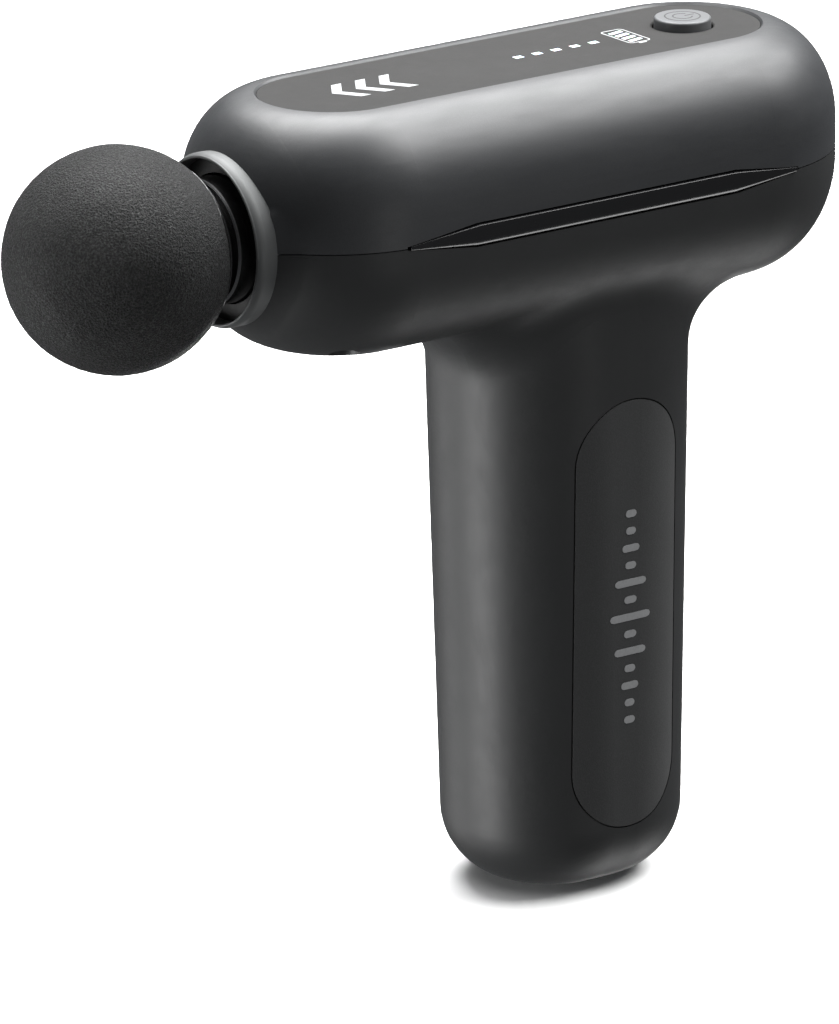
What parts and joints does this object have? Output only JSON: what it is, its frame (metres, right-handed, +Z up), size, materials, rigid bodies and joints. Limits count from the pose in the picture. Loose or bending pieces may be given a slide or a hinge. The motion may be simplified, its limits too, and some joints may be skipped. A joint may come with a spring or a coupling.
{
  "type": "massage gun",
  "caption": "Handheld percussion massage gun with a foam ball head on a reciprocating plunger, a T-shaped housing, a top control panel and a rechargeable battery in the grip.",
  "frame": {"origin": "on the flat base of the handle, under the handle axis", "axes": "+Z up along the handle, -X towards the ball along the stroke, +Y to the right side"},
  "size_m": [0.1808, 0.0576, 0.1637],
  "materials": {
    "shell_upper": "satin charcoal paint-like moulded plastic",
    "shell_lower": "matt charcoal moulded plastic",
    "panel_face": "matt dark grey overlay with pale printed marks",
    "light_window": "milky clear light guide",
    "strip_gloss": "piano black",
    "grip_rubber": "matt soft-touch rubber",
    "collar_satin": "satin metallic grey",
    "seal_rubber": "matt black rubber",
    "ball_foam": "closed-cell foam with a fine pitted skin",
    "stem_gloss": "glossy black moulded plastic",
    "sleeve_rubber": "satin black rubber",
    "plunger_metal": "black anodised",
    "guide_metal": "cast, lightly blasted",
    "bush_bronze": "oiled sintered bronze",
    "damper_rubber": "matt",
    "bracket_metal": "milled plate",
    "screw_steel": "black-zinc steel",
    "bearing_steel": "ground and polished",
    "core_iron": "stacked electrical steel",
    "winding_copper": "enamelled copper wire",
    "can_steel": "turned, nickel plated",
    "magnet_nickel": "nickel-plated magnet",
    "crank_steel": "machined",
    "button_cap": "satin cap with a bevelled edge",
    "switch_body": "moulded",
    "board_green": "solder mask",
    "chip_black": "moulded packages",
    "led_white": "clear white chips",
    "cell_wrap": "heat-shrink wrapped cell",
    "holder_plastic": "moulded",
    "nickel_strip": "rolled nickel",
    "pad_foam": "foam tape",
    "port_steel": "drawn steel shell",
    "lead_red": "insulated lead",
    "lead_grey": "insulated lead"
  },
  "bodies": {
    "housing": {"upper_shell": "shell_upper", "lower_shell": "shell_lower", "top_panel": "panel_face", "speed_light_guide": "light_window", "battery_light_guide": "light_window", "accent_strip_left": "strip_gloss", "accent_strip_right": "strip_gloss", "grip_panel_left": "grip_rubber", "grip_panel_right": "grip_rubber", "nose_collar": "collar_satin", "dust_seal": "seal_rubber", "shell_screws": "screw_steel", "guide_screws": "screw_steel", "guide_housing": "guide_metal", "guide_bushing": "bush_bronze", "motor_bracket": "bracket_metal", "bracket_screws": "screw_steel", "bearing_lower": "bearing_steel", "bearing_upper": "bearing_steel", "stator_core": "core_iron", "stator_windings": "winding_copper", "power_switch": "switch_body", "control_board": "board_green", "status_leds": "led_white", "control_board_screws": "screw_steel", "battery_cell_front": "cell_wrap", "battery_cell_rear": "cell_wrap", "battery_holder_lower": "holder_plastic", "battery_holder_upper": "holder_plastic", "cell_links": "nickel_strip", "battery_pad": "pad_foam", "main_board": "board_green", "main_board_parts": "chip_black", "main_board_screws": "screw_steel", "charge_board": "board_green", "charge_board_screws": "screw_steel", "usb_port": "port_steel", "damper_front": "damper_rubber", "damper_rear": "damper_rubber", "motor_leads": "lead_grey", "battery_leads": "lead_red", "control_cable": "lead_grey", "charge_leads": "lead_red"},
    "crank": {"rotor_can": "can_steel", "rotor_magnets": "magnet_nickel", "motor_shaft": "bearing_steel", "crank_disc": "crank_steel", "crank_pin": "bearing_steel", "crank_roller": "bearing_steel", "pin_clip": "screw_steel"},
    "plunger": {"plunger": "plunger_metal"},
    "attachment": {"massage_ball": "ball_foam", "attachment_stem": "stem_gloss", "stem_sleeve": "sleeve_rubber"},
    "button": {"power_button": "button_cap", "switch_stem": "switch_body"}
  },
  "joints": [
    {"name": "crank_spin", "type": "hinge", "parent": "housing", "child": "crank", "pos_m": [-0.022, 0, 0.1384], "axis": [0, 0, 1], "range_deg": [0, 180]},
    {"name": "plunger_slide", "type": "slide", "parent": "housing", "child": "plunger", "axis": [-1, 0, 0], "range_m": [0, 0.008]},
    {"name": "attachment_pull", "type": "slide", "parent": "plunger", "child": "attachment", "axis": [-1, 0, 0], "range_m": [0, 0.032]},
    {"name": "button_press", "type": "slide", "parent": "housing", "child": "button", "axis": [0, 0, -1], "range_m": [0, 0.0006], "stiffness_N_per_m": 1500}
  ],
  "couplings": [
    {"joint": "plunger_slide", "follows": "crank_spin", "m_per_rad": 0.002546}
  ]
}
